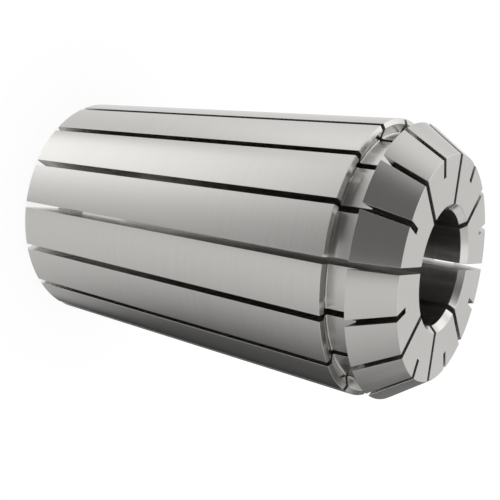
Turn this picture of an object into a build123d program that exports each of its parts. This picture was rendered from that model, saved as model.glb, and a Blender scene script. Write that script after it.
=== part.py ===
from build123d import *
from math import radians, sqrt, tan
import os

os.makedirs("parts", exist_ok=True)

# A slotted collet turned from one bar, in millimetres.
# The bore's axis is +Z and the small end of the taper stands on z = 0.

# Driving sizes of the turned blank
# The body's diameter is taken at its front corner
BODY_D = 25.5
LENGTH = 40.0
# The tapered body loses one millimetre of diameter for each of these along the axis
TAPER_RUN = 10.0
BORE_D = 10.5
# The nose is a short steep cone in front of the groove, its rear edge a little inside the body's corner
NOSE_L = 3.6
NOSE_ANGLE = 33.5
NOSE_STEP = 0.14
# The groove is this wide between the body's front corner and the nose, and both its walls are undercut
GROOVE_W = 2.2
GROOVE_DEPTH = 1.42
UNDERCUT_ANGLE = 25.0
GROOVE_FILLET = 0.15
# A shallow bevel rises from the body's front corner to a ridge at the top of the groove's rear wall
SHOULDER_W = 0.47
SHOULDER_ANGLE = 22.0
# The two mouths of the bore and the rear edge are chamfered at 45 degrees
MOUTH_CHAMFER = 0.55
REAR_MOUTH_CHAMFER = 0.3
REAR_EDGE_CHAMFER = 0.2

# Driving sizes of the slots
SLOT_PAIRS = 8
SLOT_W = 0.57
SAW_R = 22.0
# The saw runs this far inside the wall of the bore
SAW_REACH = 0.6
# Height of the web between the bore and the slot floor, where the floor meets the end face
FRONT_WEB = 3.3
REAR_WEB = 0.8
# Cutters run past the faces by this much
OVERRUN = 1.0

# Values that follow from the driving sizes
body_r = BODY_D / 2
bore_r = BORE_D / 2
nose_z = LENGTH - NOSE_L
body_z = nose_z - GROOVE_W
rear_r = body_r - body_z / TAPER_RUN / 2
groove_r = body_r - GROOVE_DEPTH
ridge_r = body_r - SHOULDER_W
ridge_z = body_z + SHOULDER_W * tan(radians(SHOULDER_ANGLE))
rear_foot_z = ridge_z - (ridge_r - groove_r) * tan(radians(UNDERCUT_ANGLE))
nose_r = body_r - NOSE_STEP
front_foot_z = nose_z + (nose_r - groove_r) * tan(radians(UNDERCUT_ANGLE))
face_r = nose_r - NOSE_L * tan(radians(NOSE_ANGLE))
pair_pitch = 360 / SLOT_PAIRS


def corner(sketch, r, z):
    """The corner of a section nearest to radius r and height z."""
    return sketch.vertices().sort_by_distance((r, z))[0]


def turned_blank():
    """The whole outside and the bore, before any slot is sawn."""
    with BuildPart() as blank:
        # A section is drawn with the radius across and the height up
        with BuildSketch(Plane.XZ) as section:
            with BuildLine():
                Polyline(
                    (bore_r, 0),
                    (rear_r, 0),
                    (body_r, body_z),
                    (ridge_r, ridge_z),
                    (groove_r, rear_foot_z),
                    (groove_r, front_foot_z),
                    (nose_r, nose_z),
                    (face_r, LENGTH),
                    (bore_r, LENGTH),
                    close=True,
                )
            make_face()
            fillet(corner(section, groove_r, rear_foot_z), GROOVE_FILLET)
            fillet(corner(section, groove_r, front_foot_z), GROOVE_FILLET)
            chamfer(corner(section, rear_r, 0), REAR_EDGE_CHAMFER)
            chamfer(corner(section, bore_r, 0), REAR_MOUTH_CHAMFER)
            chamfer(corner(section, bore_r, LENGTH), MOUTH_CHAMFER)
        revolve(axis=Axis.Z)
    return blank.part


def saw_cut(web):
    """One slot in the XZ plane, open at the front face, with its floor curving up to the rear.

    The floor runs level inside the bore and then rises on the saw's radius,
    so that it meets the rear face with this height of web left outside the bore.
    """
    deep_r = bore_r - SAW_REACH
    # The floor is carried past the face on the same arc
    rise = web + SAW_REACH
    run = sqrt(SAW_R**2 - (SAW_R - rise) ** 2)
    past_rise = SAW_R - sqrt(SAW_R**2 - (run + OVERRUN) ** 2)
    past_r = deep_r + past_rise
    outside_r = body_r + OVERRUN
    with BuildPart() as cut:
        with BuildSketch(Plane.XZ):
            with BuildLine():
                floor_end = (deep_r, run)
                TangentArc(floor_end, (past_r, -OVERRUN), tangent=(0, -1))
                Polyline(
                    (past_r, -OVERRUN),
                    (outside_r, -OVERRUN),
                    (outside_r, LENGTH + OVERRUN),
                    (deep_r, LENGTH + OVERRUN),
                    floor_end,
                )
            make_face()
        extrude(amount=SLOT_W / 2, both=True)
    return cut.part


def slots():
    """Long slots sawn from the front, and between them short ones sawn from the rear."""
    long_cut = saw_cut(REAR_WEB)
    # The same cut turned end for end leaves its web at the front face
    short_cut = saw_cut(FRONT_WEB).mirror(Plane.XY).moved(Location((0, 0, LENGTH)))
    cuts = []
    for pair in range(SLOT_PAIRS):
        angle = pair * pair_pitch
        cuts.append(long_cut.rotate(Axis.Z, angle))
        cuts.append(short_cut.rotate(Axis.Z, angle + pair_pitch / 2))
    return cuts


collet = turned_blank() - slots()
export_step(collet, "parts/collet.step")
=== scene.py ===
from collections import namedtuple
from math import asin, cos, pi, radians, sin, sqrt, tan

import bmesh
import bpy
from mathutils import Matrix, Vector


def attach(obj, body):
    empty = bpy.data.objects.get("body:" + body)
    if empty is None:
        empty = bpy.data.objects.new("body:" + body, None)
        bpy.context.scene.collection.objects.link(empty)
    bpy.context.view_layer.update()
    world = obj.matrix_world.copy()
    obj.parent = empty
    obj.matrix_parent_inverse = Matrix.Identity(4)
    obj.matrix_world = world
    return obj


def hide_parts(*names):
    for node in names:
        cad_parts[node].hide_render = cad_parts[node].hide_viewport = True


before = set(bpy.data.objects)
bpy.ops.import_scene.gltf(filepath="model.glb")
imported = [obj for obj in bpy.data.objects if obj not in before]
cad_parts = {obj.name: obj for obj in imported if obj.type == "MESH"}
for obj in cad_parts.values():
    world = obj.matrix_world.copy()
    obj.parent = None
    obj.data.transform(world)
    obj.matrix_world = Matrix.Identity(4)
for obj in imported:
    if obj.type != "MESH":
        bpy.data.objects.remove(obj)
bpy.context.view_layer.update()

# One millimetre in metres
MM = 0.001

# Sizes of the collet in millimetres and degrees, the same as the solid's
BODY_D = 25.5
LENGTH = 40.0
TAPER_RUN = 10.0
BORE_D = 10.5
NOSE_L = 3.6
NOSE_ANGLE = 33.5
NOSE_STEP = 0.14
GROOVE_W = 2.2
GROOVE_DEPTH = 1.42
UNDERCUT_ANGLE = 25.0
GROOVE_FILLET = 0.15
SHOULDER_W = 0.47
SHOULDER_ANGLE = 22.0
MOUTH_CHAMFER = 0.55
REAR_MOUTH_CHAMFER = 0.3
REAR_EDGE_CHAMFER = 0.2
SLOT_PAIRS = 8
SLOT_W = 0.57
SAW_R = 22.0
SAW_REACH = 0.6
FRONT_WEB = 3.3
REAR_WEB = 0.8
OVERRUN = 1.0

# Every edge that turns by more than this angle is sharp and gets broken by this much
SHARP_ANGLE = 30
EDGE_BREAK = 0.03

# Fineness of the mesh
SECTOR_STEPS = 14
FILLET_STEPS = 8
SAW_STEPS = 32
EDGE_STEPS = 2

# Pitch and depth in millimetres of the lines left by the grinding wheel and by the saw
GROUND_PITCH = 0.22
GROUND_DEPTH = 0.0004
SAWN_PITCH = 0.3
SAWN_DEPTH = 0.0008

# Slow change of the lines along their own run, and of the cloudy patches, in cells to the metre
LINE_CELLS = 90
CLOUD_CELLS = 160
LINE_DETAIL = 3
CLOUD_DETAIL = 2
# Share of the radius in a line's place along the section, so that the end faces have lines too
RADIUS_SHARE = 1.37
# Spread of the colour and of the roughness to either side of what a finish asks for
TONE_SPREAD = 0.04
ROUGHNESS_SPREAD = 0.25
# The shader counts this turn in whole turns, and a quarter smears the gloss across the lines
QUARTER_TURN = 0.25

# Values that follow from the sizes
body_r = BODY_D / 2
bore_r = BORE_D / 2
nose_z = LENGTH - NOSE_L
body_z = nose_z - GROOVE_W
rear_r = body_r - body_z / TAPER_RUN / 2
groove_r = body_r - GROOVE_DEPTH
ridge_r = body_r - SHOULDER_W
ridge_z = body_z + SHOULDER_W * tan(radians(SHOULDER_ANGLE))
rear_foot_z = ridge_z - (ridge_r - groove_r) * tan(radians(UNDERCUT_ANGLE))
nose_r = body_r - NOSE_STEP
front_foot_z = nose_z + (nose_r - groove_r) * tan(radians(UNDERCUT_ANGLE))
face_r = nose_r - NOSE_L * tan(radians(NOSE_ANGLE))
slot_count = 2 * SLOT_PAIRS
slot_pitch = pi / SLOT_PAIRS

# The mesh's material slots, in this order
GROUND, SAWN, BROKEN_EDGE = range(3)


def rounded(corner, before, after, radius):
    """Points of the fillet at a corner between its two neighbours."""
    corner, before, after = Vector(corner), Vector(before), Vector(after)
    into = (before - corner).normalized()
    out = (after - corner).normalized()
    half = into.angle(out) / 2
    centre = corner + (into + out).normalized() * radius / sin(half)
    first = corner + into * radius / tan(half) - centre
    last = corner + out * radius / tan(half) - centre
    sweep = first.angle_signed(last)
    return [
        centre + Matrix.Rotation(-sweep * step / FILLET_STEPS, 2) @ first
        for step in range(FILLET_STEPS + 1)
    ]


def chamfered(corner, before, after, leg):
    """The two ends of the chamfer at a corner between its two neighbours."""
    corner, before, after = Vector(corner), Vector(before), Vector(after)
    return [corner + (near - corner).normalized() * leg for near in (before, after)]


def section():
    """The turned section as radius and height, round from the bore's rear mouth."""
    bore_rear = (bore_r, 0)
    rear = (rear_r, 0)
    shoulder = (body_r, body_z)
    ridge = (ridge_r, ridge_z)
    groove_rear = (groove_r, rear_foot_z)
    groove_front = (groove_r, front_foot_z)
    nose = (nose_r, nose_z)
    face = (face_r, LENGTH)
    bore_front = (bore_r, LENGTH)
    return [
        *chamfered(bore_rear, bore_front, rear, REAR_MOUTH_CHAMFER),
        *chamfered(rear, bore_rear, shoulder, REAR_EDGE_CHAMFER),
        Vector(shoulder),
        Vector(ridge),
        *rounded(groove_rear, ridge, groove_front, GROOVE_FILLET),
        *rounded(groove_front, groove_rear, nose, GROOVE_FILLET),
        Vector(nose),
        Vector(face),
        *chamfered(bore_front, face, bore_rear, MOUTH_CHAMFER),
    ]


def new_object(name, bm):
    """An object in the scene from a bmesh, which is used up."""
    mesh = bpy.data.meshes.new(name)
    bm.to_mesh(mesh)
    bm.free()
    made = bpy.data.objects.new(name, mesh)
    bpy.context.scene.collection.objects.link(made)
    return made


def turned_blank():
    """The section revolved, with no line of the mesh along a slot's middle."""
    bm = bmesh.new()
    steps = slot_count * SECTOR_STEPS
    # Half a step on from the slots' middles
    turn = [2 * pi * (step + 0.5) / steps for step in range(steps)]
    rings = []
    for radius, height in section():
        rings.append([bm.verts.new((radius * cos(a), radius * sin(a), height)) for a in turn])
    for ring, following in zip(rings, rings[1:] + rings[:1]):
        for step in range(steps):
            near = (step + 1) % steps
            bm.faces.new((ring[step], ring[near], following[near], following[step]))
    bmesh.ops.recalc_face_normals(bm, faces=bm.faces)
    for face in bm.faces:
        face.material_index = GROUND
    return new_object("collet_ground", bm)


def saw_outline(web):
    """One slot in its own plane, open at the front, with its floor rising to the rear."""
    deep_r = bore_r - SAW_REACH
    rise = web + SAW_REACH
    run = sqrt(SAW_R**2 - (SAW_R - rise) ** 2)
    last = asin((run + OVERRUN) / SAW_R)
    floor = []
    for step in range(SAW_STEPS + 1):
        angle = last * step / SAW_STEPS
        floor.append((deep_r + SAW_R * (1 - cos(angle)), run - SAW_R * sin(angle)))
    outside_r = body_r + OVERRUN
    beyond = LENGTH + OVERRUN
    return [*floor, (outside_r, -OVERRUN), (outside_r, beyond), (deep_r, beyond)]


def slot_cutters():
    """Sixteen saw cuts, long from the front and between them short ones from the rear."""
    bm = bmesh.new()
    long_cut = saw_outline(REAR_WEB)
    short_cut = [(radius, LENGTH - height) for radius, height in saw_outline(FRONT_WEB)]
    for place in range(slot_count):
        outline = long_cut if place % 2 == 0 else short_cut
        turn = Matrix.Rotation(place * slot_pitch, 4, "Z")
        sides = [
            [bm.verts.new(turn @ Vector((radius, side, height))) for radius, height in outline]
            for side in (-SLOT_W / 2, SLOT_W / 2)
        ]
        for side in sides:
            bm.faces.new(side)
        count = len(outline)
        for step in range(count):
            near = (step + 1) % count
            bm.faces.new((sides[0][step], sides[0][near], sides[1][near], sides[1][step]))
    bmesh.ops.recalc_face_normals(bm, faces=bm.faces)
    for face in bm.faces:
        face.material_index = SAWN
    return new_object("saw_cuts", bm)


def settle(made):
    """Applies the object's modifiers."""
    graph = bpy.context.evaluated_depsgraph_get()
    mesh = bpy.data.meshes.new_from_object(made.evaluated_get(graph), depsgraph=graph)
    made.modifiers.clear()
    made.data = mesh


def collet_mesh(finishes):
    """The slotted collet with its edges broken, in metres."""
    blank = turned_blank()
    cutters = slot_cutters()
    for finish in finishes:
        blank.data.materials.append(finish)
        cutters.data.materials.append(finish)
    cut = blank.modifiers.new("slots", "BOOLEAN")
    cut.operation = "DIFFERENCE"
    cut.solver = "EXACT"
    cut.material_mode = "INDEX"
    cut.object = cutters
    settle(blank)
    bpy.data.objects.remove(cutters)
    ease = blank.modifiers.new("edges", "BEVEL")
    ease.width = EDGE_BREAK
    ease.segments = EDGE_STEPS
    ease.limit_method = "ANGLE"
    ease.angle_limit = radians(SHARP_ANGLE)
    ease.use_clamp_overlap = False
    ease.harden_normals = True
    ease.material = BROKEN_EDGE
    blank.data.shade_smooth()
    settle(blank)
    blank.data.transform(Matrix.Scale(MM, 4))
    return blank


def node(tree, kind, values=(), **settings):
    """A shader node with its settings, and its inputs linked or filled in order."""
    made = tree.nodes.new(kind)
    for key, value in settings.items():
        setattr(made, key, value)
    for place, value in enumerate(values):
        if isinstance(value, bpy.types.NodeSocket):
            tree.links.new(value, made.inputs[place])
        else:
            made.inputs[place].default_value = value
    return made


def maths(tree, operation, *values):
    """The result of one Math node."""
    return node(tree, "ShaderNodeMath", values, operation=operation).outputs[0]


def ramp(tree, value, low, high):
    """Zero below low and one above high, eased between them; it falls if low is above high."""
    made = node(tree, "ShaderNodeMapRange", interpolation_type="SMOOTHSTEP")
    start, end = min(low, high), max(low, high)
    made.inputs["From Min"].default_value = start
    made.inputs["From Max"].default_value = end
    made.inputs["To Min"].default_value = 0 if low < high else 1
    made.inputs["To Max"].default_value = 1 if low < high else 0
    tree.links.new(value, made.inputs["Value"])
    return made.outputs["Result"]


def steel(name, colour, roughness, anisotropy, pitch, depth):
    """Steel with fine lines, round the axis where it is ground and across the walls where it is sawn."""
    made = bpy.data.materials.new(name)
    made.use_nodes = True
    tree = made.node_tree
    surface = tree.nodes["Principled BSDF"]
    surface.inputs["Metallic"].default_value = 1
    surface.inputs["Anisotropic"].default_value = anisotropy
    surface.inputs["Anisotropic Rotation"].default_value = QUARTER_TURN
    tangent = node(tree, "ShaderNodeTangent", direction_type="RADIAL", axis="Z")
    tree.links.new(tangent.outputs[0], surface.inputs["Tangent"])

    # The lines change quickly along the section and slowly round the axis
    place = node(tree, "ShaderNodeTexCoord").outputs["Object"]
    x, y, z = node(tree, "ShaderNodeSeparateXYZ", [place]).outputs
    squares = [maths(tree, "MULTIPLY", side, side) for side in (x, y)]
    radius = maths(tree, "SQRT", maths(tree, "ADD", *squares))
    along = maths(tree, "MULTIPLY_ADD", radius, RADIUS_SHARE, z)
    lines = node(tree, "ShaderNodeCombineXYZ", [
        maths(tree, "MULTIPLY", x, LINE_CELLS),
        maths(tree, "MULTIPLY", y, LINE_CELLS),
        maths(tree, "DIVIDE", along, pitch * MM),
    ]).outputs[0]
    grain = node(tree, "ShaderNodeTexNoise", [lines])
    grain.inputs["Scale"].default_value = 1
    grain.inputs["Detail"].default_value = LINE_DETAIL
    cloud = node(tree, "ShaderNodeTexNoise", [place])
    cloud.inputs["Scale"].default_value = CLOUD_CELLS
    cloud.inputs["Detail"].default_value = CLOUD_DETAIL

    tone = node(tree, "ShaderNodeMapRange")
    tone.inputs["To Min"].default_value = 1 - TONE_SPREAD
    tone.inputs["To Max"].default_value = 1 + TONE_SPREAD
    tree.links.new(grain.outputs[0], tone.inputs["Value"])
    tint = node(tree, "ShaderNodeVectorMath", [colour, tone.outputs[0]], operation="MULTIPLY")
    tree.links.new(tint.outputs[0], surface.inputs["Base Color"])

    # The two noises together reach from 0 to 2
    uneven = maths(tree, "ADD", grain.outputs[0], cloud.outputs[0])
    rough = node(tree, "ShaderNodeMapRange")
    rough.inputs["From Max"].default_value = 2
    rough.inputs["To Min"].default_value = roughness * (1 - ROUGHNESS_SPREAD)
    rough.inputs["To Max"].default_value = roughness * (1 + ROUGHNESS_SPREAD)
    tree.links.new(uneven, rough.inputs["Value"])
    tree.links.new(rough.outputs[0], surface.inputs["Roughness"])

    bump = node(tree, "ShaderNodeBump")
    bump.inputs["Strength"].default_value = 1
    bump.inputs["Distance"].default_value = depth * MM
    tree.links.new(grain.outputs[0], bump.inputs["Height"])
    tree.links.new(bump.outputs[0], surface.inputs["Normal"])
    return made


# Edges of a card that runs all the way down or all the way up
NADIR = (-91, -90)
ZENITH = (90, 91)
# A card has an azimuth for its middle and four eased edges, each from one angle to another in degrees:
# left and right are counted from the middle, and low and high are elevations
Card = namedtuple("Card", "brightness middle left right low high")
# Cards of the light tent that the steel mirrors, each laid over the ones before it
CARDS = {
    "low softbox": Card(1.88, middle=-155, left=(-28, -10), right=(4, 69), low=NADIR, high=(-46, 42)),
    "right panel": Card(0.85, middle=-55, left=(-37, -35), right=(75, 88), low=NADIR, high=ZENITH),
    "ground shade": Card(0.09, middle=50, left=(-132, -17), right=(12, 27), low=(-48, -37), high=(-27, 77)),
    "upper flag": Card(0.17, middle=-126, left=(-83, -34), right=(37, 59), low=(-25, -22), high=(70, 80)),
    "front scrim": Card(0.09, middle=-116, left=(-202, 76), right=(28, 38), low=(-60, -17), high=(-4, 9)),
    "left strip": Card(1.22, middle=172, left=(-60, -1), right=(-7, 39), low=(-43, -29), high=(-14, -11)),
    "lower flag": Card(0.02, middle=20, left=(-41, -10), right=(-3, 33), low=(-7, 0), high=(-3, 19)),
    "edge shade": Card(0.04, middle=60, left=(-25, -5), right=(28, 40), low=(-48, -37), high=(-6, 6)),
    "lower strip": Card(0.19, middle=62, left=(-22, -12), right=(18, 24), low=(-24, -14), high=(6, 14)),
    "chamfer light": Card(0.95, middle=42, left=(-20, -13), right=(13, 17), low=(11, 16), high=(38, 46)),
    "chamfer fill": Card(0.95, middle=54, left=(-6, -3), right=(3, 6), low=(6, 10), high=(14, 18)),
    "groove shade": Card(0.05, middle=52, left=(-11, -6), right=(8, 14), low=(23, 28), high=(46, 54)),
    "groove foot": Card(0.04, middle=65, left=(-7, -4), right=(8, 12), low=(10, 14), high=(28, 32)),
    "face card": Card(0.80, middle=85, left=(-8, -4), right=(7, 11), low=(10, 14), high=(27, 31)),
    "glint card": Card(1.70, middle=148, left=(-35, -20), right=(16, 26), low=(38, 44), high=(60, 66)),
    "slot light": Card(1.70, middle=-90, left=(-14, -9), right=(9, 14), low=(-18, -12), high=(10, 16)),
    "groove light": Card(1.25, middle=-45, left=(-40, -20), right=(25, 45), low=(54, 60), high=ZENITH),
    "bevel light": Card(1.50, middle=124, left=(-18, -10), right=(14, 24), low=(12, 20), high=(36, 42)),
}
# Brightness of the tent beside the cards, and of the world as the floor and other rough surfaces see it
TENT_LEVEL = 1.0
DIFFUSE_LEVEL = 0.9


def light_tent():
    """The world: white to the camera, and to the steel a white tent with cards in it."""
    world = bpy.data.worlds.new("light_tent")
    bpy.context.scene.world = world
    world.use_nodes = True
    tree = world.node_tree
    background = tree.nodes["Background"]
    background.inputs["Color"].default_value = (1, 1, 1, 1)
    direction = node(tree, "ShaderNodeTexCoord").outputs["Generated"]
    x, y, z = node(tree, "ShaderNodeSeparateXYZ", [direction]).outputs
    azimuth = maths(tree, "DEGREES", maths(tree, "ARCTAN2", y, x))
    elevation = maths(tree, "DEGREES", maths(tree, "ARCSINE", z))
    level = TENT_LEVEL
    for card in CARDS.values():
        turned = maths(tree, "WRAP", maths(tree, "SUBTRACT", azimuth, card.middle), 180, -180)
        mask = ramp(tree, turned, *card.left)
        mask = maths(tree, "MULTIPLY", mask, ramp(tree, turned, *reversed(card.right)))
        mask = maths(tree, "MULTIPLY", mask, ramp(tree, elevation, *card.low))
        mask = maths(tree, "MULTIPLY", mask, ramp(tree, elevation, *reversed(card.high)))
        change = maths(tree, "SUBTRACT", card.brightness, level)
        level = maths(tree, "MULTIPLY_ADD", change, mask, level)
    rays = node(tree, "ShaderNodeLightPath")
    seen = maths(tree, "MAXIMUM", rays.outputs["Is Glossy Ray"], rays.outputs["Is Transmission Ray"])
    mirrored = node(tree, "ShaderNodeMix", data_type="FLOAT")
    tree.links.new(seen, mirrored.inputs[0])
    mirrored.inputs[2].default_value = DIFFUSE_LEVEL
    tree.links.new(level, mirrored.inputs[3])
    strength = maths(tree, "MAXIMUM", mirrored.outputs[0], rays.outputs["Is Camera Ray"])
    tree.links.new(strength, background.inputs["Strength"])


# The floor's side in metres, its own glow as the camera sees it, and the grey that takes the shadow
FLOOR_SIDE = 2.0
FLOOR_GLOW = 0.86
FLOOR_SHADE = 0.18


def floor():
    """A plain white floor that keeps a faint shadow of the collet."""
    bm = bmesh.new()
    bmesh.ops.create_grid(bm, x_segments=1, y_segments=1, size=FLOOR_SIDE / 2)
    made = new_object("floor", bm)
    finish = bpy.data.materials.new("white_floor")
    finish.use_nodes = True
    tree = finish.node_tree
    surface = tree.nodes["Principled BSDF"]
    surface.inputs["Base Color"].default_value = (FLOOR_SHADE, FLOOR_SHADE, FLOOR_SHADE, 1)
    surface.inputs["Roughness"].default_value = 1
    surface.inputs["Specular IOR Level"].default_value = 0
    surface.inputs["Emission Color"].default_value = (1, 1, 1, 1)
    rays = node(tree, "ShaderNodeLightPath")
    seen = maths(tree, "MAXIMUM", rays.outputs["Is Camera Ray"], rays.outputs["Is Transmission Ray"])
    tree.links.new(maths(tree, "MULTIPLY", seen, FLOOR_GLOW), surface.inputs["Emission Strength"])
    made.data.materials.append(finish)
    # The steel mirrors the tent's lower half in its place
    made.visible_glossy = False


# The photograph's view: place in millimetres, direction, roll in degrees and lens in millimetres
CAMERA_AT = Vector((-7.37, -86.01, 70.43))
CAMERA_LOOK = Vector((0.0890, 0.8587, -0.5046))
CAMERA_ROLL = 100.6
CAMERA_LENS = 73.05
# Nearest and furthest that the camera sees, in metres
CAMERA_NEAR = 0.005
CAMERA_FAR = 10


def camera():
    """The photograph's view, rolled so that the collet's axis lies across the picture."""
    made = bpy.data.objects.new("camera", bpy.data.cameras.new("camera"))
    bpy.context.scene.collection.objects.link(made)
    bpy.context.scene.camera = made
    look = CAMERA_LOOK.normalized()
    level_right = look.cross(Vector((0, 0, 1))).normalized()
    level_up = level_right.cross(look)
    roll = radians(CAMERA_ROLL)
    right = level_right * cos(roll) + level_up * sin(roll)
    up = right.cross(look)
    aim = Matrix((right, up, -look)).transposed().to_4x4()
    made.matrix_world = Matrix.Translation(CAMERA_AT * MM) @ aim
    made.data.lens = CAMERA_LENS
    made.data.clip_start = CAMERA_NEAR
    made.data.clip_end = CAMERA_FAR


# In the order of the mesh's material slots
finishes = [
    steel(
        "ground_steel", (0.585, 0.575, 0.555), roughness=0.22, anisotropy=0.5,
        pitch=GROUND_PITCH, depth=GROUND_DEPTH,
    ),
    steel(
        "sawn_steel", (0.66, 0.65, 0.63), roughness=0.26, anisotropy=0.3,
        pitch=SAWN_PITCH, depth=SAWN_DEPTH,
    ),
    steel(
        "broken_edge", (0.62, 0.61, 0.59), roughness=0.25, anisotropy=0.3,
        pitch=GROUND_PITCH, depth=GROUND_DEPTH,
    ),
]
collet = collet_mesh(finishes)
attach(collet, "root")
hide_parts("collet")
light_tent()
floor()
camera()
bpy.context.scene.view_settings.view_transform = "Standard"
